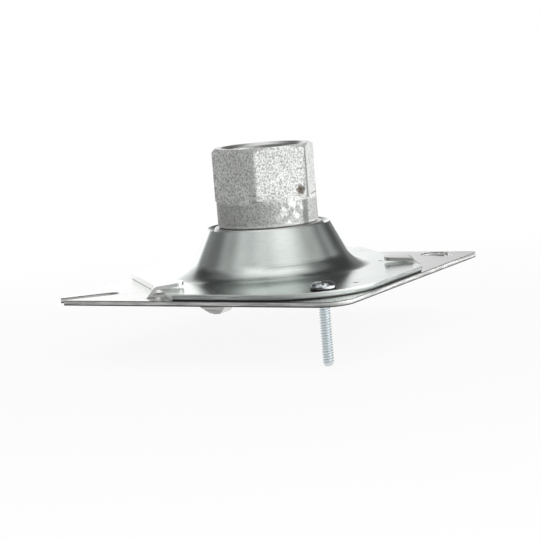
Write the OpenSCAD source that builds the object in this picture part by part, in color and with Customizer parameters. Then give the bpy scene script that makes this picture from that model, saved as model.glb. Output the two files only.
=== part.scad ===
// Swivel hanger for lighting fixtures: a square box cover, a bell canopy hooked and screwed to it,
// and a cast hexagon hub that swivels in the mouth of the bell on a ball ring.
// Millimetres, +Z up along the hub. The origin is the middle of the hub's open end, where the pipe
// enters that the whole thing hangs from. +X runs along the diagonal through the two box screws,
// and the lock screw stands at -Y.

/* [Cover plate] */
// Side of the square cover plate
cover_side = 101.6; // [96:0.2:108]
// Sheet thickness of the cover plate
cover_t = 1.6; // [1.2:0.1:2]
// Corner radius at the front and the back of the cover plate
cover_front_r = 8.4; // [4:0.2:12]
// Corner radius at the two box-screw corners
cover_side_r = 3; // [1:0.5:5]
// Radius of the wire opening in the middle
wire_opening_r = 16; // [12:0.5:18]
// Distance from the middle to each box screw
box_screw_x = 60; // [58:0.5:61]
// Width of the two box-screw slots
slot_w = 5.6; // [5:0.1:6.4]
// How far the open slot runs inward past its box screw
slot_past_screw = 6.4; // [4:0.2:8]
// Radius of the keyhole's round head
keyhole_r = 4.6; // [4.2:0.1:5]
// Inward step from the box screw to the keyhole's head
keyhole_in = 1.8; // [1:0.1:3]
// Backward step from the box screw to the keyhole's head
keyhole_back = 5.2; // [4:0.1:5.6]

/* [Hooks] */
// Width of a hook at its tip
hook_tip_w = 6.5; // [5:0.5:8]
// Width of a hook at its foot
hook_foot_w = 9; // [8:0.5:11]
// Thickness of a hook
hook_t = 1.1; // [0.9:0.1:1.4]
// Reach of a hook over the edge of the canopy
hook_reach = 7.1; // [5:0.1:9]
// Distance of the hooks in front of the box-screw diagonal
hook_front = 15.8; // [8:0.1:18]
// Room between a hook and the canopy under it
hook_gap = 0.2; // [0.1:0.05:0.4]
// Room between the canopy's side and a hook's top bend
hook_side_gap = 0.7; // [0.5:0.1:1.2]
// Height by which a hook's tip is turned up
hook_tip_rise = 0.6; // [0:0.1:1]
// Inner radius of a hook's two bends
hook_bend_r = 0.8; // [0.6:0.1:1]
// Steepness of a hook between its bends, in degrees
hook_rise = 50; // [40:1:65]
// Turn of each hook about its own middle, in degrees
hook_turn = -15; // [-18:1:0]

/* [Pressed lug] */
// Length of the lug along the plate's edge
lug_len = 9; // [6:0.5:12]
// Width of the lug
lug_w = 6; // [4:0.5:7]
// Depth of the lug under the plate
lug_depth = 2.3; // [1:0.1:3]
// Distance of the lug's middle from the front corner, along the edge
lug_from_corner = 44; // [30:0.5:50]
// Distance of the lug's middle from the plate's edge
lug_inset = 3.7; // [3.6:0.1:8]

/* [Canopy] */
// Sheet thickness of the canopy
canopy_t = 1.9; // [1.5:0.1:2.2]
// Room between the two plates
plate_gap = 0.1; // [0.05:0.05:0.3]
// Margin between the canopy's edge and the cover plate's edge
canopy_inset = 0.8; // [0.5:0.1:2]
// Corner radius at the front and the back of the canopy
canopy_front_r = 26; // [20:1:30]
// Distance from the middle to each cut-off side of the canopy
canopy_cut_x = 40.5; // [39:0.5:42]
// Corner radius at the ends of the cut-off sides
canopy_cut_r = 2; // [1:0.5:3]
// Radius of the bell's mouth, outside
mouth_r = 19.8; // [19.4:0.1:20.4]
// Height of the bell's mouth above the canopy
mouth_h = 14.65; // [14:0.1:16]
// Lean of the bell's wall from upright, in degrees
wall_lean = 26.5; // [24:0.5:29]
// Radius of the curve between the bell and the flat
fillet_r = 8.5; // [7:0.5:10]

/* [Hub] */
// Width of the hexagon across its flats
hex_flats = 30.3; // [29.5:0.1:31.5]
// Height of the whole hub above the bell's mouth
hub_h = 25.7; // [24:0.1:28]
// Height of the hexagon
hex_h = 17; // [15:0.5:18]
// Room between the round collar and the bell's mouth
collar_room = 1.9; // [1.8:0.1:2.2]
// Radius of the rounded lower edge of the collar
collar_edge_r = 0.8; // [0.5:0.1:1.4]
// Radius of the pipe thread's bore, at the roots of the thread
thread_r = 13; // [12.8:0.05:13.2]
// Depth of the pipe thread's bore
thread_depth = 16; // [14:0.5:17]
// Wall of the stem inside the retaining ring's groove
stem_wall = 2.1; // [1.6:0.1:3]
// Width of the cast bevels on the hub
cast_bevel = 0.6; // [0.3:0.1:1]
// Turn of the hexagon about its axis, in degrees
hex_turn = 4.5; // [0:0.5:59.5]
// Slope of the hexagon's turned ends, in degrees
hex_end_slope = 27; // [20:1:40]

/* [Ball ring] */
// Distance of the ball's seat from the edge of the bell's mouth, down the wall
seat_depth = 1.6; // [1.4:0.1:2]
// Swing of the bell on the ball to either side, in degrees
swing = 7.5; // [5:0.5:7.5]
// Running clearance between the ball and its seat
ball_clearance = 0.08; // [0.04:0.01:0.1]
// Height of the ball ring
ball_ring_h = 8.4; // [8:0.1:9]
// Width of the ball ring's flat top
ball_ring_w = 3.7; // [3:0.1:4]
// Running clearance between the ball ring and the stem
stem_clearance = 0.05; // [0.02:0.01:0.1]
// Thickness of the retaining ring
snap_t = 1.2; // [0.8:0.1:1.4]
// Reach of the retaining ring past the stem
snap_reach = 1.9; // [1.5:0.1:2.4]
// Depth of the retaining ring's groove
groove_depth = 0.8; // [0.5:0.1:1]
// End play of the ball ring and of the retaining ring
end_play = 0.1; // [0.05:0.01:0.15]
// Width of the gap in the retaining ring
snap_gap = 5; // [3:0.5:7]

/* [Lock screw] */
// Distance of the lock screw in front of the middle
screw_front = 55; // [54:0.1:56]
// Radius of the lock screw's thread, outside
screw_r = 1.75; // [1.5:0.05:2]
// Length of the lock screw under its head
screw_len = 23.2; // [20:0.2:26]
// Radius of the screw head's rim
head_r = 3.9; // [3.4:0.1:4.2]
// Radius of the screw head's crown
crown_r = 2.9; // [2.4:0.1:3.2]
// Thickness of the screw head's rim
head_rim_t = 0.8; // [0.6:0.1:1]
// Height of the whole screw head
head_h = 2.5; // [2:0.1:3]
// Width of the slot in the screw head
driver_slot_w = 0.9; // [0.6:0.1:1.2]
// Depth of the slot in the screw head
driver_slot_d = 1.1; // [0.8:0.1:1.4]
// Room around the screw in the canopy
screw_room = 0.25; // [0.15:0.05:0.4]
// Room around the screw in the tapped hole
tap_room = 0.03; // [0.02:0.01:0.05]

/* [Hidden] */
$fn = 96;
past = 0.5;
cover_colour = [0.78, 0.79, 0.79];
canopy_colour = [0.72, 0.75, 0.74];
hub_colour = [0.62, 0.63, 0.62];
ring_colour = [0.66, 0.67, 0.66];
screw_colour = [0.66, 0.71, 0.73];

canopy_z = cover_t + plate_gap;
canopy_top = canopy_z + canopy_t;
canopy_side = cover_side - 2 * canopy_inset;

// The bell's wall is a straight cone of sheet, met by a fillet that runs into the canopy.
mouth_z = canopy_top + mouth_h;
wall_out = [cos(wall_lean), sin(wall_lean)];
wall_down = [sin(wall_lean), -cos(wall_lean)];
foot_z = canopy_top + fillet_r * (1 - sin(wall_lean));
wall_foot = [mouth_r + (mouth_z - foot_z) * tan(wall_lean), foot_z];
fillet_c = wall_foot + fillet_r * wall_out;
fillet_steps = 12;

// The ball touches the inside of the bell all round, a little below the mouth.
seat = [mouth_r, mouth_z] - canopy_t * wall_out + seat_depth * wall_down;
ball_z = seat[1] - seat[0] * tan(wall_lean);
ball_r = seat[0] / cos(wall_lean) - ball_clearance;
ring_top = ball_z + ball_r * sin(wall_lean + swing + 0.5);
ring_foot = ring_top - ball_ring_h;

stem_r = ball_r * cos(wall_lean + swing + 0.5) - ball_ring_w - stem_clearance;
groove_r = stem_r - groove_depth;
passage_r = groove_r - stem_wall;
snap_r = stem_r + snap_reach;
collar_r = mouth_r - canopy_t * wall_out[0] - collar_room;

hub_top = mouth_z + hub_h;
collar_z = ring_top + end_play;
hex_z = hub_top - hex_h;
hex_corner_r = hex_flats / 2 / cos(30);
snap_top = ring_foot - end_play;
snap_foot = snap_top - snap_t;
stem_foot = snap_foot - 0.7;
corner_trim = 0.25;

hook_z = canopy_top + hook_gap;
hook_bend_out = hook_bend_r + hook_t;
hook_top_c = [canopy_cut_x + hook_side_gap, hook_z + hook_t - hook_bend_out];
hook_slant = (hook_z + hook_t - cover_t - (hook_bend_r + hook_bend_out) * (1 - cos(hook_rise))) / sin(hook_rise);
hook_run = (hook_bend_r + hook_bend_out) * sin(hook_rise) + hook_slant * cos(hook_rise);
hook_foot_c = [hook_top_c[0] + hook_run, cover_t + hook_bend_r];
hook_tip_x = canopy_cut_x - hook_reach;
hook_mid_x = (hook_tip_x + hook_foot_c[0]) / 2;
hook_tip_r = 2;
hook_steps = 6;
lug_profile = [[-0.5, 0], [-0.12, 0.85], [0.1, 1], [0.3, 0.95], [0.42, 0.45], [0.5, 0]];

// Every piece is laid out from the cover plate's underside, then moved down to the frame.
module to_frame() {
    translate([0, 0, -hub_top])
        children();
}

function on_arc(c, r, a) = c + r * [cos(a), sin(a)];

function arc(c, r, from, to, steps) =
    [for (i = [0 : steps]) on_arc(c, r, from + (to - from) * i / steps)];

// A square centred on the middle, turned onto its corner, with one radius front and back
// and another at the two sides.
module turned_square(side, end_r, side_r) {
    rotate(45)
        difference() {
            square(side, center = true);
            for (turn = [0 : 3])
                rotate(turn * 90)
                    corner_cut(side / 2, turn % 2 == 0 ? side_r : end_r);
        }
}

// The sliver outside a rounded corner at [half, -half].
module corner_cut(half, r) {
    translate([half - r, r - half])
        difference() {
            translate([0, -r - past])
                square([r + past, r + past]);
            circle(r);
        }
}

module cover_outline() {
    difference() {
        turned_square(cover_side, cover_front_r, cover_side_r);
        circle(wire_opening_r);
        open_slot();
        keyhole();
        for (side = [-1, 1])
            hook_window(side);
        translate([0, -screw_front])
            circle(screw_r + tap_room);
    }
}

// Box-screw slot that opens at the left corner.
module open_slot() {
    end_x = box_screw_x - slot_past_screw;
    translate([-end_x, 0])
        circle(slot_w / 2);
    translate([-cover_side, -slot_w / 2])
        square([cover_side - end_x, slot_w]);
}

// Box-screw slot at the right corner, with a round head that passes the screw's head.
module keyhole() {
    head = [box_screw_x - keyhole_in, keyhole_back];
    foot = [box_screw_x, 0];
    way = head - foot;
    translate(foot)
        circle(slot_w / 2);
    translate(head)
        circle(keyhole_r);
    translate(foot)
        rotate(atan2(way[1], way[0]))
            translate([0, -slot_w / 2])
                square([norm(way), slot_w]);
}

// Both hooks are turned the same way about their own middles.
module at_hook(side) {
    translate([side * hook_mid_x, -hook_front, 0])
        rotate(hook_turn)
            children();
}

// The hole that a hook leaves in the plate when it is lanced and bent up.
module hook_window(side) {
    at_hook(side)
        scale([side, 1])
            translate([-hook_mid_x, 0])
                polygon([
                    [hook_tip_x - past, -hook_tip_w / 2 - past],
                    [hook_foot_c[0], -hook_foot_w / 2 - past],
                    [hook_foot_c[0], hook_foot_w / 2 + past],
                    [hook_tip_x - past, hook_tip_w / 2 + past]
                ]);
}

// Side view of the right-hand hook: it leaves the plate, rises in an S and reaches over the canopy.
module hook_profile() {
    tip_top = [hook_tip_x, hook_z + hook_t + hook_tip_rise];
    polygon(concat(
        arc(hook_foot_c, hook_bend_r, -90, -90 - hook_rise, hook_steps),
        arc(hook_top_c, hook_bend_out, 90 - hook_rise, 90, hook_steps),
        [tip_top, tip_top - [0, hook_t]],
        arc(hook_top_c, hook_bend_r, 90, 90 - hook_rise, hook_steps),
        arc(hook_foot_c, hook_bend_out, -90 - hook_rise, -90, hook_steps),
        [[hook_foot_c[0] + past, cover_t - hook_t], [hook_foot_c[0] + past, cover_t]]
    ));
}

// Plan of the right-hand hook: narrower towards its tip, which has rounded corners.
module hook_plan() {
    half_tip = hook_tip_w / 2;
    half_foot = hook_foot_w / 2;
    polygon([
        [hook_tip_x, hook_tip_r - half_tip],
        [hook_tip_x + hook_tip_r, -half_tip],
        [hook_foot_c[0], -half_foot],
        [hook_foot_c[0] + past, -half_foot],
        [hook_foot_c[0] + past, half_foot],
        [hook_foot_c[0], half_foot],
        [hook_tip_x + hook_tip_r, half_tip],
        [hook_tip_x, half_tip - hook_tip_r]
    ]);
    for (y = [hook_tip_r - half_tip, half_tip - hook_tip_r])
        translate([hook_tip_x + hook_tip_r, y])
            circle(hook_tip_r);
}

module hook(side) {
    at_hook(side)
        mirror([side < 0 ? 1 : 0, 0, 0])
            translate([-hook_mid_x, 0, 0])
                intersection() {
                    rotate([90, 0, 0])
                        linear_extrude(2 * hook_foot_w, center = true)
                            hook_profile();
                    linear_extrude(2 * hook_z)
                        hook_plan();
                }
}

// A lug pressed down near the left-front edge, with a long ramp and a short steep end.
module lug() {
    rotate(-45)
        translate([cover_side / 2 - lug_from_corner, lug_inset - cover_side / 2, 0])
            rotate([90, 0, 0])
                linear_extrude(lug_w, center = true)
                    polygon([for (p = lug_profile) [p[0] * lug_len, -p[1] * lug_depth]]);
}

module cover_plate() {
    color(cover_colour) to_frame()
        union() {
            linear_extrude(cover_t)
                cover_outline();
            for (side = [-1, 1])
                hook(side);
            lug();
        }
}

module canopy_outline() {
    trim_y = canopy_side / sqrt(2) - canopy_cut_x;
    difference() {
        intersection() {
            turned_square(canopy_side, canopy_front_r, past);
            square([2 * canopy_cut_x, 2 * cover_side], center = true);
        }
        for (sx = [-1, 1], sy = [-1, 1])
            scale([sx, sy])
                cut_corner(trim_y);
        circle(fillet_c[0]);
        translate([0, -screw_front])
            circle(screw_r + screw_room);
    }
}

// The sliver outside the rounded end of a cut-off side, where two edges meet at 135 degrees.
module cut_corner(trim_y) {
    back = canopy_cut_r * tan(22.5);
    translate([canopy_cut_x, trim_y])
        difference() {
            polygon([[0, -back], [past, -back], [past, past], [-back * sin(45), back * sin(45) + past],
                [-back * sin(45), back * sin(45)]]);
            translate([-canopy_cut_r, -back])
                circle(canopy_cut_r);
        }
}

// Section of the bell, from the canopy's flat up to the mouth.
module bell_section() {
    polygon(concat(
        [[fillet_c[0], canopy_z], [fillet_c[0] + past, canopy_z], [fillet_c[0] + past, canopy_top]],
        arc(fillet_c, fillet_r, 270, 180 + wall_lean, fillet_steps),
        [[mouth_r, mouth_z], [mouth_r, mouth_z] - canopy_t * wall_out],
        arc(fillet_c, fillet_r + canopy_t, 180 + wall_lean, 270, fillet_steps)
    ));
}

module canopy() {
    color(canopy_colour) to_frame()
        union() {
            translate([0, 0, canopy_z])
                linear_extrude(canopy_t)
                    canopy_outline();
            rotate_extrude()
                bell_section();
        }
}

// The hexagon, with its corners turned off at both ends, on the round collar.
module hub_body() {
    hex_land_r = hex_flats / 2 + 0.1;
    hex_spread = hex_h / tan(hex_end_slope);
    translate([0, 0, hex_z])
        rotate(hex_turn)
            intersection() {
                cylinder(h = hex_h, r = hex_corner_r, $fn = 6);
                cylinder(h = hex_h, r = hex_corner_r - corner_trim);
                cylinder(h = hex_h, r1 = hex_land_r + hex_spread, r2 = hex_land_r);
                cylinder(h = hex_h, r1 = collar_r, r2 = collar_r + hex_spread);
            }
    rotate_extrude()
        hub_section();
}

// Section of the collar and of the stem, with the groove for the retaining ring.
module hub_section() {
    edge_c = [collar_r - collar_edge_r, collar_z + collar_edge_r];
    polygon(concat(
        [[0, stem_foot], [stem_r - cast_bevel, stem_foot], [stem_r, stem_foot + cast_bevel]],
        [[stem_r, snap_foot - end_play / 2], [groove_r, snap_foot - end_play / 2]],
        [[groove_r, snap_top + end_play / 2], [stem_r, snap_top + end_play / 2], [stem_r, collar_z]],
        arc(edge_c, collar_edge_r, -90, 0, 6),
        [[collar_r, hex_z + past], [0, hex_z + past]]
    ));
}

module swivel_hub() {
    thread_z = hub_top - thread_depth;
    color(hub_colour) to_frame()
        difference() {
            hub_body();
            translate([0, 0, stem_foot - past])
                cylinder(h = hub_top, r = passage_r);
            translate([0, 0, thread_z])
                cylinder(h = thread_depth + past, r = thread_r);
            translate([0, 0, thread_z - (thread_r - passage_r) / 2])
                cylinder(h = (thread_r - passage_r) / 2 + 0.01, r1 = passage_r, r2 = thread_r - 0.01);
        }
}

module ball_ring() {
    color(ring_colour) to_frame()
        difference() {
            intersection() {
                translate([0, 0, ball_z])
                    sphere(ball_r);
                translate([0, 0, ring_foot])
                    cylinder(h = ring_top - ring_foot, r = ball_r + past);
            }
            translate([0, 0, ring_foot - past])
                cylinder(h = ring_top - ring_foot + 2 * past, r = stem_r + stem_clearance);
        }
}

module retaining_ring() {
    inner_r = groove_r + end_play / 2;
    color(ring_colour) to_frame()
        translate([0, 0, snap_foot])
            difference() {
                cylinder(h = snap_t, r = snap_r);
                translate([0, 0, -past])
                    cylinder(h = snap_t + 2 * past, r = inner_r);
                translate([0, -snap_gap / 2, -past])
                    cube([snap_r + past, snap_gap, snap_t + 2 * past]);
            }
}

module lock_screw() {
    crown_h = head_h - head_rim_t;
    crown_ball_r = (crown_r * crown_r + crown_h * crown_h) / (2 * crown_h);
    color(screw_colour) to_frame()
        translate([0, -screw_front, canopy_top])
            difference() {
                union() {
                    translate([0, 0, -screw_len + screw_r / 2])
                        cylinder(h = screw_len - screw_r / 2, r = screw_r);
                    translate([0, 0, -screw_len])
                        cylinder(h = screw_r / 2, r1 = screw_r / 2, r2 = screw_r);
                    cylinder(h = head_rim_t, r = head_r);
                    intersection() {
                        translate([0, 0, head_h - crown_ball_r])
                            sphere(crown_ball_r);
                        cylinder(h = head_h, r = crown_r);
                    }
                }
                translate([-crown_r, -driver_slot_w / 2, head_h - driver_slot_d])
                    cube([2 * crown_r, driver_slot_w, driver_slot_d + past]);
            }
}

cover_plate();
canopy();
swivel_hub();
ball_ring();
retaining_ring();
lock_screw();
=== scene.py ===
import math

import bmesh
import bpy
from mathutils import Matrix, Vector


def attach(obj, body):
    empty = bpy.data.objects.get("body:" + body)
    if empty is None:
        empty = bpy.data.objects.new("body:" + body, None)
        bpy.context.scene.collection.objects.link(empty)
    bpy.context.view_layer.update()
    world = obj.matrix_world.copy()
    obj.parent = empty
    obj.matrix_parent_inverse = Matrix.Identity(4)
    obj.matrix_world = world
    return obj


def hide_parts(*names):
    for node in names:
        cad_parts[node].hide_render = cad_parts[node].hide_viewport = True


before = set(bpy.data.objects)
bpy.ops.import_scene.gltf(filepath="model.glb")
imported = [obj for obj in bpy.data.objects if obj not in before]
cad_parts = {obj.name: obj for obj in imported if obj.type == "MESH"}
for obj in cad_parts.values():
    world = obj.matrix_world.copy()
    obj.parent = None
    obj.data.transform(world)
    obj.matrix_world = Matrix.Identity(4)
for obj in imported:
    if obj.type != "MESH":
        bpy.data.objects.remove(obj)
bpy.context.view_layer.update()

mm = 0.001


# small helpers for working by hand in edit mode

def clearSelection():
    if bpy.context.object and bpy.context.object.mode != "OBJECT":
        bpy.ops.object.mode_set(mode="OBJECT")
    bpy.ops.object.select_all(action="DESELECT")


def pick(piece):
    clearSelection()
    piece.select_set(True)
    bpy.context.view_layer.objects.active = piece


def editMesh(piece, what="FACE"):
    pick(piece)
    bpy.ops.object.mode_set(mode="EDIT")
    bpy.ops.mesh.select_mode(type=what)
    bpy.ops.mesh.select_all(action="DESELECT")
    return bmesh.from_edit_mesh(piece.data)


def choose(piece, mesh, kind, test):
    for item in getattr(mesh, kind):
        item.select_set(bool(test(item)))
    mesh.select_flush_mode()
    bmesh.update_edit_mesh(piece.data)


def leaveEdit():
    bpy.ops.object.mode_set(mode="OBJECT")


def applyAll(piece):
    pick(piece)
    for modifier in list(piece.modifiers):
        bpy.ops.object.modifier_apply(modifier=modifier.name)


def settle(piece):
    pick(piece)
    bpy.ops.object.transform_apply(location=True, rotation=True, scale=True)


def combine(piece, other, way):
    # exact boolean of two closed pieces; the other one is used up
    step = piece.modifiers.new("combine", "BOOLEAN")
    step.operation = way
    step.solver = "EXACT"
    step.object = other
    applyAll(piece)
    bpy.data.objects.remove(other)


def cutAway(piece, cutter):
    combine(piece, cutter, "DIFFERENCE")


def keepInside(piece, other):
    combine(piece, other, "INTERSECT")


def joinOn(piece, other):
    combine(piece, other, "UNION")


def closeEnds(piece):
    # the sweep leaves its two ends open
    editMesh(piece, "VERT")
    bpy.ops.mesh.select_all(action="SELECT")
    bpy.ops.mesh.remove_doubles(threshold=1e-6)
    bpy.ops.mesh.select_all(action="SELECT")
    bpy.ops.mesh.fill_holes(sides=8)
    bpy.ops.mesh.select_all(action="SELECT")
    bpy.ops.mesh.normals_make_consistent(inside=False)
    leaveEdit()


def smoothBy(piece, degrees):
    pick(piece)
    bpy.ops.object.shade_smooth_by_angle(angle=math.radians(degrees))


def dress(piece, material):
    piece.data.materials.clear()
    piece.data.materials.append(material)


def dimmed(colour, share):
    return tuple(c * share for c in colour)


# nodes for the finishes

def newFinish(name):
    material = bpy.data.materials.new(name)
    material.use_nodes = True
    tree = material.node_tree
    shader = tree.nodes["Principled BSDF"]
    place = tree.nodes.new("ShaderNodeTexCoord").outputs["Object"]
    return material, tree, shader, place


def mapped(tree, place, scale, turn=(0, 0, 0)):
    node = tree.nodes.new("ShaderNodeMapping")
    node.inputs["Rotation"].default_value = turn
    node.inputs["Scale"].default_value = scale
    tree.links.new(place, node.inputs["Vector"])
    return node.outputs["Vector"]


def grain(tree, place, size, detail, rough):
    # noise whose lumps are about that size in millimetres
    node = tree.nodes.new("ShaderNodeTexNoise")
    node.inputs["Scale"].default_value = 1000 / size
    node.inputs["Detail"].default_value = detail
    node.inputs["Roughness"].default_value = rough
    tree.links.new(place, node.inputs["Vector"])
    return node.outputs["Fac"]


def spread(tree, value, low, high, fromLow=0.0, fromHigh=1.0):
    # low where the value is at fromLow, high where it is at fromHigh, and held beyond them
    node = tree.nodes.new("ShaderNodeMapRange")
    node.inputs["From Min"].default_value = fromLow
    node.inputs["From Max"].default_value = fromHigh
    node.inputs["To Min"].default_value = low
    node.inputs["To Max"].default_value = high
    tree.links.new(value, node.inputs["Value"])
    return node.outputs["Result"]


def blendColour(tree, share, first, second):
    node = tree.nodes.new("ShaderNodeMix")
    node.data_type = "RGBA"
    for socket, value in ((node.inputs[0], share), (node.inputs[6], first), (node.inputs[7], second)):
        if isinstance(value, (int, float)):
            socket.default_value = value
        elif isinstance(value, tuple):
            socket.default_value = (*value, 1)
        else:
            tree.links.new(value, socket)
    return node.outputs[2]


def sums(tree, way, first, second, clamp=False):
    node = tree.nodes.new("ShaderNodeMath")
    node.operation = way
    node.use_clamp = clamp
    for socket, value in ((node.inputs[0], first), (node.inputs[1], second)):
        if isinstance(value, (int, float)):
            socket.default_value = value
        else:
            tree.links.new(value, socket)
    return node.outputs[0]


def bumped(tree, shader, heights):
    # each row: a height, its strength, and its depth in millimetres
    last = None
    for height, strength, depth in heights:
        node = tree.nodes.new("ShaderNodeBump")
        node.inputs["Strength"].default_value = strength
        node.inputs["Distance"].default_value = depth * mm
        tree.links.new(height, node.inputs["Height"])
        if last:
            tree.links.new(last, node.inputs["Normal"])
        last = node.outputs["Normal"]
    tree.links.new(last, shader.inputs["Normal"])


def facing(tree, axis):
    # how much a face looks along that axis, either way, from 0 to 1
    geometry = tree.nodes.new("ShaderNodeNewGeometry")
    split = tree.nodes.new("ShaderNodeSeparateXYZ")
    tree.links.new(geometry.outputs["True Normal"], split.inputs[0])
    return sums(tree, "ABSOLUTE", split.outputs[axis], 0)


def climb(tree, place, foot, top):
    # 0 at the first height and 1 at the second, both in millimetres, upwards or downwards
    split = tree.nodes.new("ShaderNodeSeparateXYZ")
    tree.links.new(place, split.inputs[0])
    if foot > top:
        return spread(tree, split.outputs["Z"], 1, 0, top * mm, foot * mm)
    return spread(tree, split.outputs["Z"], 0, 1, foot * mm, top * mm)


def nearSpot(tree, place, centre, size, soft=0.3):
    # 1 inside a spot, 0 outside it; its centre and radius are in millimetres
    node = tree.nodes.new("ShaderNodeVectorMath")
    node.operation = "DISTANCE"
    tree.links.new(place, node.inputs[0])
    node.inputs[1].default_value = [c * mm for c in centre]
    return spread(tree, node.outputs["Value"], 1, 0, size * mm * (1 - soft), size * mm * (1 + soft))


print("helpers ready")


# camera at the photograph's viewing angle

cameraView = {
    # millimetres and degrees; the lens is in millimetres too
    "aim": (0, 0, -43.95), "distance": 600, "azimuth": -15.41, "elevation": 8.02, "roll": 4.48,
    "lens": 123.2, "shiftX": -0.00515, "shiftY": 0.01826,
}


def placeCamera(view):
    around, up, roll = (math.radians(view[k]) for k in ("azimuth", "elevation", "roll"))
    back = Vector((math.sin(around) * math.cos(up), -math.cos(around) * math.cos(up), math.sin(up)))
    level = Vector((math.cos(around), math.sin(around), 0))
    lift = back.cross(level)
    right = math.cos(roll) * level - math.sin(roll) * lift
    above = math.sin(roll) * level + math.cos(roll) * lift
    spot = (Vector(view["aim"]) + back * view["distance"]) * mm
    data = bpy.data.cameras.new("camera")
    data.lens = view["lens"]
    data.shift_x, data.shift_y = view["shiftX"], view["shiftY"]
    data.clip_start, data.clip_end = 0.01, 20
    camera = bpy.data.objects.new("camera", data)
    camera.matrix_world = Matrix((
        (right.x, above.x, back.x, spot.x),
        (right.y, above.y, back.y, spot.y),
        (right.z, above.z, back.z, spot.z),
        (0, 0, 0, 1),
    ))
    bpy.context.scene.collection.objects.link(camera)
    bpy.context.scene.camera = camera


placeCamera(cameraView)
print("camera placed")


# finishes

def zincSheet(name, sheet):
    # zinc plated sheet: fine brushing, cloudy plating, sheared edges, and a few marks
    material, tree, shader, place = newFinish(name)
    colour, dull, foot, top = sheet["colour"], sheet["dull"], sheet["foot"], sheet["top"]
    clouds = grain(tree, place, 16, 3, 0.5)
    along = mapped(tree, place, (0.03, 1, 1), (0, 0, math.radians(sheet["brushTurn"])))
    brushed = grain(tree, along, 0.45, 3, 0.6)
    fine = grain(tree, place, 0.4, 2, 0.5)
    cloudy = spread(tree, clouds, 0, 1, 0.35, 0.65)
    face = blendColour(tree, cloudy, dimmed(colour, 0.90), dimmed(colour, 1.05))
    face = blendColour(tree, spread(tree, brushed, 0, 0.3, 0.5, 0.72), face, dimmed(colour, 0.78))

    # the sheared edge: torn grey streaks along it
    streaks = grain(tree, mapped(tree, place, (0.035, 0.035, 1)), 0.42, 3, 0.65)
    torn = dimmed(colour, sheet["torn"])
    cutFace = blendColour(tree, spread(tree, streaks, 0, 1, 0.38, 0.62), dimmed(torn, 0.45), torn)
    # a burnished line at its top (on the cover a dark painted shade line instead) and a painted shadow line
    # at its foot, on the sheet's own edge only
    height = climb(tree, place, foot, top)
    burnishAndShadeLine = sums(tree, "MULTIPLY", spread(tree, height, 0, 1, 0.76, 0.92),
                     climb(tree, place, top + 0.12, top + 0.04))
    cutFace = blendColour(tree, burnishAndShadeLine, cutFace, (sheet["line"],) * 3)
    shadowLine = sums(tree, "MULTIPLY", spread(tree, height, 1, 0, 0.10, 0.36),
                      climb(tree, place, foot - 0.12, foot - 0.04))
    cutFace = blendColour(tree, shadowLine, cutFace, dimmed(colour, 0.05))
    # the sides of what stands above the sheet are painted darker, painted shade, and cuts square to X are
    # painted near white and made smoother, a painted reflection of the white backdrop
    lifted = climb(tree, place, top + 0.1, top + 0.3)
    cutFace = blendColour(tree, lifted, cutFace, dimmed(colour, 0.62))
    brightSquareToX = spread(tree, facing(tree, "X"), 0, 1, 0.88, 0.95)
    cutFace = blendColour(tree, brightSquareToX, cutFace, (0.95, 0.96, 0.95))

    flat = spread(tree, facing(tree, "Z"), 0, 1, 0.12, 0.3)
    shown = blendColour(tree, flat, cutFace, face)
    roughness = sums(tree, "ADD", spread(tree, brushed, dull, dull + 0.10), spread(tree, clouds, -0.03, 0.05))
    for centre, radius, tone in sheet["marks"]:
        spot = nearSpot(tree, place, centre, radius)
        shown = blendColour(tree, spot, shown, dimmed(colour, tone))
        roughness = sums(tree, "ADD", roughness, sums(tree, "MULTIPLY", spot, 0.15))
    roughness = sums(tree, "ADD", roughness, spread(tree, flat, 0.20, 0))
    roughness = sums(tree, "SUBTRACT", roughness, sums(tree, "MULTIPLY", brightSquareToX, 0.22))
    tree.links.new(shown, shader.inputs["Base Color"])
    tree.links.new(roughness, shader.inputs["Roughness"])
    shader.inputs["Metallic"].default_value = 1.0
    bumped(tree, shader, [(brushed, 0.10, 0.02), (fine, 0.06, 0.02)])
    return material


casting = {
    # heights and places on the hub, in millimetres
    "collarTop": -17.5, "bandTop": -24.4, "bandFoot": -25.3,
    # the sheen patch is a painted highlight on the collar's front; the corner shade line and the shadow
    # streak under it are painted shade
    "sheenPlace": (4.0, -15.7, -21.2), "sheenRadius": 5.0,
    "cornerShadePlace": (9.75, -14.19, 0), "cornerShadeRadius": 0.42,
    "shadowStreakPlace": (8.8, -13.6, 0), "shadowStreakRadius": 1.2,
    "rustPlace": (7.47, -14.61, -14.2), "rustRadius": 1.45,
}


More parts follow.
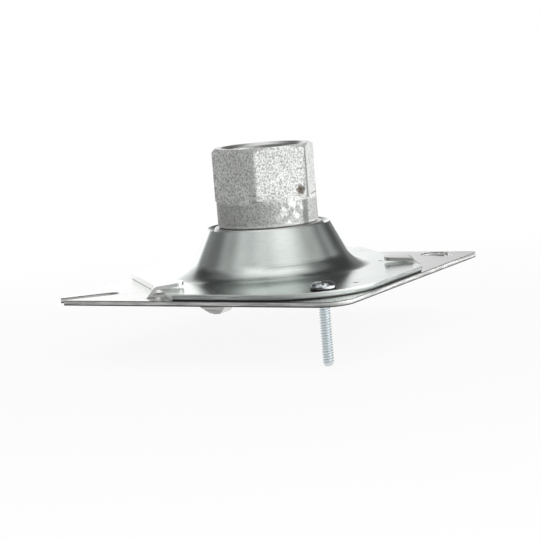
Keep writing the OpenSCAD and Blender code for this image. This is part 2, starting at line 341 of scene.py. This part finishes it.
def castZinc(name, spots):
    # rough sand casting: grain, cloudy tone, painted sheen patches and painted shade on the collar, a painted
    # shade line on one corner of the hexagon, and one rust spot
    material, tree, shader, place = newFinish(name)
    coarse = grain(tree, place, 1.7, 4, 0.65)
    fine = grain(tree, place, 0.62, 4, 0.7)
    clouds = grain(tree, place, 7, 3, 0.5)
    shown = blendColour(tree, spread(tree, clouds, 0, 1, 0.3, 0.7), (0.68, 0.69, 0.675), (0.80, 0.81, 0.795))
    shown = blendColour(tree, spread(tree, fine, 0.9, 0, 0.38, 0.53), shown, (0.27, 0.28, 0.27))
    shown = blendColour(tree, spread(tree, fine, 0, 0.8, 0.52, 0.66), shown, (0.88, 0.89, 0.87))
    # bright patches painted on the collar's front, a painted sheen, and the turned band at its foot
    patches = spread(tree, grain(tree, place, 2.6, 3, 0.6), 0, 1, 0.47, 0.56)
    sheenSpot = nearSpot(tree, place, spots["sheenPlace"], spots["sheenRadius"], 0.35)
    sheenPatch = sums(tree, "MULTIPLY", patches, sheenSpot)
    band = sums(tree, "MULTIPLY", climb(tree, place, spots["bandFoot"] - 0.2, spots["bandFoot"] + 0.2),
                climb(tree, place, spots["bandTop"] + 0.2, spots["bandTop"] - 0.2))
    bright = sums(tree, "MAXIMUM", sums(tree, "MULTIPLY", sheenPatch, 0.95), sums(tree, "MULTIPLY", band, 0.6))
    # the collar below the hexagon is painted darker, painted shade
    collarShade = climb(tree, place, spots["collarTop"] + 0.3, spots["collarTop"] - 0.3)
    shown = blendColour(tree, sums(tree, "MULTIPLY", collarShade, 0.35), shown, (0.16, 0.165, 0.16))
    shown = blendColour(tree, bright, shown, (0.86, 0.87, 0.85))
    # a painted shade line along one upright corner of the hexagon, a painted shadow on the collar under that
    # corner, and the rust
    upright = mapped(tree, place, (1, 1, 0))
    cornerShade = nearSpot(tree, upright, spots["cornerShadePlace"], spots["cornerShadeRadius"], 0.5)
    shadowStreak = nearSpot(tree, upright, spots["shadowStreakPlace"], spots["shadowStreakRadius"], 0.4)
    shadowStreak = sums(tree, "MULTIPLY", shadowStreak, collarShade)
    dark = sums(tree, "MAXIMUM", sums(tree, "MULTIPLY", cornerShade, 0.75), sums(tree, "MULTIPLY", shadowStreak, 0.7))
    shown = blendColour(tree, dark, shown, (0.10, 0.10, 0.09))
    rust = sums(tree, "SUBTRACT", nearSpot(tree, place, spots["rustPlace"], spots["rustRadius"]),
                spread(tree, fine, 0, 0.35, 0.45, 0.7), True)
    shown = blendColour(tree, rust, shown, (0.075, 0.052, 0.028))
    tree.links.new(shown, shader.inputs["Base Color"])
    metal = sums(tree, "SUBTRACT", 0.55, sums(tree, "MULTIPLY", rust, 0.55), True)
    tree.links.new(metal, shader.inputs["Metallic"])
    roughness = sums(tree, "SUBTRACT", spread(tree, fine, 0.42, 0.62), sums(tree, "MULTIPLY", bright, 0.15))
    tree.links.new(roughness, shader.inputs["Roughness"])
    bumped(tree, shader, [(coarse, 0.7, 0.5), (fine, 1.0, 0.42)])
    return material


def turnedSteel(name, colour, tool, depth):
    # turned face: rings of tool marks round the axis, tool millimetres apart and depth millimetres deep
    material, tree, shader, place = newFinish(name)
    rings = grain(tree, mapped(tree, place, (0.02, 0.02, 1)), tool, 3, 0.6)
    clouds = grain(tree, place, 4, 3, 0.5)
    shown = blendColour(tree, clouds, dimmed(colour, 0.84), colour)
    tree.links.new(shown, shader.inputs["Base Color"])
    tree.links.new(spread(tree, rings, 0.22, 0.42), shader.inputs["Roughness"])
    shader.inputs["Metallic"].default_value = 1.0
    bumped(tree, shader, [(rings, 0.4, depth)])
    return material


def screwZinc(name, seat):
    # bright zinc on a small machine screw, spotted on its head, with painted shade where the head meets its
    # seat
    material, tree, shader, place = newFinish(name)
    clouds = grain(tree, place, 1.3, 3, 0.5)
    fine = grain(tree, place, 0.25, 2, 0.6)
    spots = sums(tree, "MULTIPLY", spread(tree, clouds, 1, 0, 0.38, 0.6),
                 climb(tree, place, seat - 0.65, seat - 0.25))
    shown = blendColour(tree, spots, (0.66, 0.71, 0.73), (0.34, 0.36, 0.36))
    # a painted contact shadow round the foot of the head, where it meets its seat
    corner = sums(tree, "MULTIPLY", climb(tree, place, seat + 0.85, seat + 0.35),
                  climb(tree, place, seat - 0.25, seat - 0.05))
    shown = blendColour(tree, corner, shown, (0.05, 0.052, 0.05))
    tree.links.new(shown, shader.inputs["Base Color"])
    tree.links.new(spread(tree, fine, 0.14, 0.30), shader.inputs["Roughness"])
    shader.inputs["Metallic"].default_value = 1.0
    bumped(tree, shader, [(spots, 0.2, 0.08), (fine, 0.1, 0.02)])
    return material


coverSheet = {
    # foot and top of the sheet's edge in millimetres; the brushing is turned by degrees
    "colour": (0.74, 0.75, 0.735), "dull": 0.20, "brushTurn": 45,
    # on the cover the line at the top of its edge is dark, a painted shade line under the canopy; on the
    # canopy it is a burnished line
    "foot": -43.95, "top": -42.35, "line": 0.10, "torn": 1.0, "marks": [],
}
canopySheet = {
    "colour": (0.62, 0.665, 0.64), "dull": 0.16, "brushTurn": -45,
    "foot": -42.25, "top": -40.35, "line": 0.55, "torn": 0.78,
    # each mark: its centre and radius in millimetres, and its tone
    "marks": [((33.8, -10.0, -40.3), 0.7, 0.45), ((12.0, -50.0, -40.3), 0.9, 0.60)],
}

coverMetal = zincSheet("cover_sheet_zinc", coverSheet)
canopyMetal = zincSheet("canopy_sheet_zinc", canopySheet)
hubMetal = castZinc("cast_hub_zinc", casting)
mouthMetal = turnedSteel("tapped_mouth_zinc", (0.86, 0.87, 0.855), 0.5, 0.12)
ringMetal = turnedSteel("turned_ring_steel", (0.70, 0.71, 0.70), 0.18, 0.02)
screwMetal = screwZinc("screw_blue_zinc", canopySheet["top"])
print("finishes ready")


# swivel hub: hexagon and collar with soft cast edges, and a pipe thread cut in its mouth

hub = {
    "flats": 30.3, "turn": 4.5, "hexFoot": -17.0, "cornerRound": 0.6, "endSlope": 27, "landRadius": 15.25,
    "collarRadius": 16.2, "collarFoot": -25.4, "collarRound": 0.8,
    "stemRadius": 13.51, "grooveRadius": 12.71, "grooveTop": -33.95, "grooveFoot": -35.25,
    "stemFoot": -35.9, "stemRound": 0.5, "passageRadius": 10.61,
    "threadRoot": 13.0, "threadCrest": 12.2, "pitch": 1.814, "threadDepth": 14.5,
    "mouthBevel": 13.6, "bevelDrop": 1.0, "mouthReach": 14.2,
}


def addTube(name, radius, low, high, sides=96):
    # an upright cylinder between two heights, in millimetres
    clearSelection()
    bpy.ops.mesh.primitive_cylinder_add(
        vertices=sides, radius=radius * mm, depth=(high - low) * mm, location=(0, 0, (high + low) / 2 * mm))
    piece = bpy.context.object
    piece.name = name
    settle(piece)
    return piece


def roundFoot(piece, foot, size, segments):
    # the lower rim of a turned piece
    mesh = editMesh(piece, "EDGE")
    choose(piece, mesh, "edges", lambda e: all(v.co.z < (foot + 0.01) * mm for v in e.verts))
    bpy.ops.mesh.bevel(offset=size * mm, segments=segments, affect="EDGES")
    leaveEdit()


def drawEnd(piece, way, reach, share):
    # the top (way 1) or the bottom (way -1) is drawn out by that reach and scaled to that share
    mesh = editMesh(piece, "FACE")
    choose(piece, mesh, "faces", lambda f: f.normal.z * way > 0.9)
    if reach:
        bpy.ops.mesh.extrude_region_move(TRANSFORM_OT_translate={"value": (0, 0, way * reach * mm)})
    bpy.ops.transform.resize(value=(share, share, 1))
    leaveEdit()


def sweepTooth(name, inside, outside, footWidth, crestWidth, rise, turns, steps):
    # one tooth of a thread, swept round and along Z with the Screw modifier; widths are half widths
    clearSelection()
    bpy.ops.mesh.primitive_plane_add(size=1, location=(0, 0, 0))
    tooth = bpy.context.object
    tooth.name = name
    corners = [(inside, -footWidth), (inside, footWidth), (outside, -crestWidth), (outside, crestWidth)]
    for vertex, (reach, height) in zip(tooth.data.vertices, corners):
        vertex.co = (reach * mm, 0, height * mm)
    sweep = tooth.modifiers.new("sweep", "SCREW")
    sweep.axis = "Z"
    sweep.iterations = turns
    sweep.screw_offset = rise * mm
    sweep.steps = sweep.render_steps = steps
    sweep.use_merge_vertices = True
    sweep.merge_threshold = 1e-6
    applyAll(tooth)
    return tooth


def makeHub(sizes):
    cornerRadius = sizes["flats"] / 2 / math.cos(math.radians(30))
    clearSelection()
    bpy.ops.mesh.primitive_cylinder_add(
        vertices=6, radius=cornerRadius * mm, depth=-sizes["hexFoot"] * mm,
        location=(0, 0, sizes["hexFoot"] / 2 * mm), rotation=(0, 0, math.radians(sizes["turn"] - 30)))
    piece = bpy.context.object
    piece.name = "hubCasting"
    settle(piece)
    # the six upright corners are rounded, then both ends are turned off to a cone
    mesh = editMesh(piece, "EDGE")
    choose(piece, mesh, "edges", lambda e: abs(e.verts[0].co.z - e.verts[1].co.z) > 0.01)
    bpy.ops.mesh.bevel(offset=sizes["cornerRound"] * mm, segments=4, affect="EDGES")
    leaveEdit()
    wide = cornerRadius + 0.2
    slope = math.tan(math.radians(sizes["endSlope"]))
    topDrop = (wide - sizes["landRadius"]) * slope
    footRise = (wide - sizes["collarRadius"]) * slope
    turning = addTube("turning", wide, sizes["hexFoot"] + footRise, -topDrop)
    drawEnd(turning, 1, topDrop, sizes["landRadius"] / wide)
    drawEnd(turning, -1, footRise, sizes["collarRadius"] / wide)
    keepInside(piece, turning)

    # collar, with a rounded lower edge, and the stem under it
    collar = addTube("collar", sizes["collarRadius"], sizes["collarFoot"], sizes["hexFoot"] + 0.8)
    roundFoot(collar, sizes["collarFoot"], sizes["collarRound"], 5)
    joinOn(piece, collar)
    stem = addTube("stem", sizes["stemRadius"], sizes["stemFoot"], sizes["collarFoot"] + 1.5)
    roundFoot(stem, sizes["stemFoot"], sizes["stemRound"], 2)
    groove = addTube("groove", sizes["stemRadius"] + 1, sizes["grooveFoot"], sizes["grooveTop"])
    core = addTube("core", sizes["grooveRadius"], sizes["grooveFoot"] - 1, sizes["grooveTop"] + 1)
    cutAway(groove, core)
    cutAway(stem, groove)
    joinOn(piece, stem)

    # bore, wire passage and the turned bevel of the mouth
    cutAway(piece, addTube("passage", sizes["passageRadius"], sizes["stemFoot"] - 1, 1))
    cutAway(piece, addTube("bore", sizes["threadCrest"], -sizes["threadDepth"] - 1, 1))
    lean = (sizes["mouthBevel"] - sizes["threadCrest"]) / sizes["bevelDrop"]
    wide, narrow = sizes["mouthBevel"] + 0.4 * lean, sizes["threadCrest"] - 0.1 * lean
    bevel = addTube("mouthBevel", wide, -sizes["bevelDrop"] - 0.1, 0.4)
    drawEnd(bevel, -1, 0, narrow / wide)
    cutAway(piece, bevel)
    cutAway(piece, makeTap(sizes))
    smoothBy(piece, 20)
    # the mouth's bevel and thread have their own finish
    dress(piece, hubMetal)
    piece.data.materials.append(mouthMetal)
    mouthFoot = -(sizes["threadDepth"] + 1.5) * mm
    for face in piece.data.polygons:
        reach = math.hypot(face.center.x, face.center.y) / mm
        face.material_index = int(reach < sizes["mouthReach"] and face.center.z > mouthFoot)
    return piece


def makeTap(sizes):
    # swept downwards from half a pitch above the mouth
    pitch = sizes["pitch"]
    turns = int(sizes["threadDepth"] / pitch) + 1
    tap = sweepTooth("tap", sizes["threadCrest"] - 0.4, sizes["threadRoot"],
                     pitch * 0.44, pitch * 0.06, -pitch, turns, 72)
    tap.location = (0, 0, pitch * 0.5 * mm)
    settle(tap)
    closeEnds(tap)
    return tap


hubPiece = makeHub(hub)
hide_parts("swivel_hub")
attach(hubPiece, "hub")
print("hub made:", len(hubPiece.data.polygons), "faces")


# lock screw: rolled thread under a slotted pan head

screw = {
    "front": 55.0, "seat": canopySheet["top"], "length": 23.2, "tipRound": 0.55,
    "threadRadius": 1.75, "coreRadius": 1.36, "pitch": 0.794, "threadStart": 0.75,
    "headRadius": 3.9, "headRound": 0.15, "sideHeight": 0.5, "headHeight": 2.5, "crownSteps": 10,
    "slotLength": 12, "slotWidth": 0.8, "slotDepth": 1.0, "slotTurn": 74,
}


def makeScrew(sizes):
    tip = sizes["seat"] - sizes["length"]
    # the head: one low cylinder, drawn up and in by steps to a round crown
    piece = addTube("lockScrew", sizes["headRadius"], sizes["seat"], sizes["seat"] + sizes["sideHeight"], 64)
    roundFoot(piece, sizes["seat"], sizes["headRound"], 2)
    mesh = editMesh(piece, "FACE")
    choose(piece, mesh, "faces", lambda f: f.normal.z > 0.99)
    rise = sizes["headHeight"] - sizes["sideHeight"]
    steps = sizes["crownSteps"]
    angles = [math.pi / 2 * step / steps for step in range(steps + 1)]
    # a squarer curve than a circle, as on a pan head, with a small flat at its top
    widths = [math.cos(angle) ** 0.8 * 0.97 + 0.03 for angle in angles]
    for step in range(steps):
        lift = rise * (math.sin(angles[step + 1]) - math.sin(angles[step]))
        share = widths[step + 1] / widths[step]
        bpy.ops.mesh.extrude_region_move(TRANSFORM_OT_translate={"value": (0, 0, lift * mm)})
        bpy.ops.transform.resize(value=(share, share, 1))
    leaveEdit()
    clearSelection()
    bpy.ops.mesh.primitive_cube_add(size=1, location=(0, 0, (sizes["seat"] + sizes["headHeight"]) * mm))
    slot = bpy.context.object
    slot.scale = (sizes["slotLength"] * mm, sizes["slotWidth"] * mm, 2 * sizes["slotDepth"] * mm)
    slot.rotation_euler = (0, 0, math.radians(sizes["slotTurn"]))
    settle(slot)
    cutAway(piece, slot)

    # the shank: its core, and the thread round it
    core = addTube("core", sizes["coreRadius"], tip, sizes["seat"] + 0.2, 32)
    roundFoot(core, tip, sizes["tipRound"], 2)
    joinOn(piece, core)
    joinOn(piece, makeRidge(sizes, tip))
    piece.location = (0, -sizes["front"] * mm, 0)
    settle(piece)
    smoothBy(piece, 40)
    dress(piece, screwMetal)
    return piece


def makeRidge(sizes, tip):
    # swept upwards from a little above the tip
    pitch = sizes["pitch"]
    turns = int(sizes["length"] / pitch) - 1
    ridge = sweepTooth("ridge", sizes["coreRadius"] - 0.2, sizes["threadRadius"],
                       pitch * 0.46, pitch * 0.07, pitch, turns, 28)
    ridge.location = (0, 0, (tip + sizes["threadStart"]) * mm)
    settle(ridge)
    closeEnds(ridge)
    return ridge


screwPiece = makeScrew(screw)
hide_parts("lock_screw")
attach(screwPiece, "plates")
print("screw made:", len(screwPiece.data.polygons), "faces")


# finishes on the pieces that the frame already has in their right shape

for node, material in (("cover_plate", coverMetal), ("canopy", canopyMetal),
                       ("ball_ring", ringMetal), ("retaining_ring", ringMetal)):
    dress(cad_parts[node], material)
print("frame pieces finished")


# floor, light and white background

studio = {
    # the floor, in millimetres; that share of it shows within the fade's radius, and further out it is white
    "floorHeight": -63.6, "floorSize": 6000, "floorShows": 0.12, "floorFade": 150,
    "fill": 0.06,
    # soft lamps: degrees round from +X, degrees up, degrees to where each has faded, strength
    "lamps": [
        (0, 2, 26, 0.9), (60, 2, 26, 0.20), (90, 2, 26, 0.75), (120, 2, 26, 0.25),
        (75, 3, 13, 0.8), (90, 3, 13, 0.5), (105, 3, 13, 0.6),
        (270, 2, 26, 0.4), (300, 2, 26, 2.8), (330, 2, 26, 5.5), (346, 3, 14, 5.2), (3, 3, 14, 4.6),
        (282, 21, 44, 0.74), (330, 24, 26, 0.45), (150, 24, 26, 0.16),
        (180, 46, 28, 0.40), (216, 46, 28, 0.40),
        (268, 63, 42, 0.60), (0, 68, 30, 0.18), (120, 68, 30, 0.15), (0, 90, 34, 0.70),
    ],
    # where the white backdrop stands behind the object
    "backdrop": (92, 2, 27),
}


def makeFloor(plan):
    clearSelection()
    bpy.ops.mesh.primitive_plane_add(size=plan["floorSize"] * mm, location=(0, 0, plan["floorHeight"] * mm))
    floor = bpy.context.object
    floor.name = "floor"
    settle(floor)
    material = bpy.data.materials.new("pale_floor")
    material.use_nodes = True
    tree = material.node_tree
    tree.nodes.clear()
    paint = tree.nodes.new("ShaderNodeBsdfDiffuse")
    paint.inputs["Color"].default_value = (0.86, 0.86, 0.86, 1)
    shine = tree.nodes.new("ShaderNodeEmission")
    shine.inputs["Strength"].default_value = 1.0
    rays = tree.nodes.new("ShaderNodeLightPath")
    seen = sums(tree, "MAXIMUM", rays.outputs["Is Camera Ray"], rays.outputs["Is Glossy Ray"])
    seen = sums(tree, "MAXIMUM", seen, rays.outputs["Is Transmission Ray"])
    place = tree.nodes.new("ShaderNodeTexCoord").outputs["Object"]
    nearby = nearSpot(tree, place, (0, 0, plan["floorHeight"]), plan["floorFade"], 0.8)
    hidden = sums(tree, "SUBTRACT", 1, sums(tree, "MULTIPLY", nearby, plan["floorShows"]))
    share = sums(tree, "MULTIPLY", seen, hidden)
    mix = tree.nodes.new("ShaderNodeMixShader")
    out = tree.nodes.new("ShaderNodeOutputMaterial")
    tree.links.new(share, mix.inputs[0])
    tree.links.new(paint.outputs[0], mix.inputs[1])
    tree.links.new(shine.outputs[0], mix.inputs[2])
    tree.links.new(mix.outputs[0], out.inputs["Surface"])
    dress(floor, material)


def softPatch(tree, way, around, up, width, strength, full=0.45):
    # a soft round patch of light in that direction, full up to a share of its width and faded at the width
    around, up = math.radians(around), math.radians(up)
    node = tree.nodes.new("ShaderNodeVectorMath")
    node.operation = "DOT_PRODUCT"
    tree.links.new(way, node.inputs[0])
    level = math.cos(up)
    node.inputs[1].default_value = (math.cos(around) * level, math.sin(around) * level, math.sin(up))
    ramp = tree.nodes.new("ShaderNodeMapRange")
    ramp.interpolation_type = "SMOOTHSTEP"
    ramp.inputs["From Min"].default_value = math.cos(math.radians(width))
    ramp.inputs["From Max"].default_value = math.cos(math.radians(width * full))
    ramp.inputs["To Max"].default_value = strength
    tree.links.new(node.outputs["Value"], ramp.inputs["Value"])
    return ramp.outputs["Result"]


def makeStudio(plan):
    world = bpy.data.worlds.new("studio")
    world.use_nodes = True
    bpy.context.scene.world = world
    tree = world.node_tree
    tree.nodes.clear()
    way = tree.nodes.new("ShaderNodeTexCoord").outputs["Generated"]
    light = plan["fill"]
    for lamp in plan["lamps"]:
        light = sums(tree, "ADD", light, softPatch(tree, way, *lamp))
    rays = tree.nodes.new("ShaderNodeLightPath")
    shiny = sums(tree, "MAXIMUM", rays.outputs["Is Glossy Ray"], rays.outputs["Is Transmission Ray"])
    behind = sums(tree, "MULTIPLY", shiny, softPatch(tree, way, *plan["backdrop"], 1.0, 0.7))
    light = sums(tree, "MAXIMUM", light, behind)
    # the camera itself sees plain white
    seen = rays.outputs["Is Camera Ray"]
    light = sums(tree, "MULTIPLY", light, sums(tree, "SUBTRACT", 1, seen))
    light = sums(tree, "ADD", light, seen)
    background = tree.nodes.new("ShaderNodeBackground")
    background.inputs["Color"].default_value = (1, 1, 1, 1)
    out = tree.nodes.new("ShaderNodeOutputWorld")
    tree.links.new(light, background.inputs["Strength"])
    tree.links.new(background.outputs[0], out.inputs["Surface"])
    bpy.context.scene.view_settings.view_transform = "Standard"


makeFloor(studio)
makeStudio(studio)
print("studio ready")
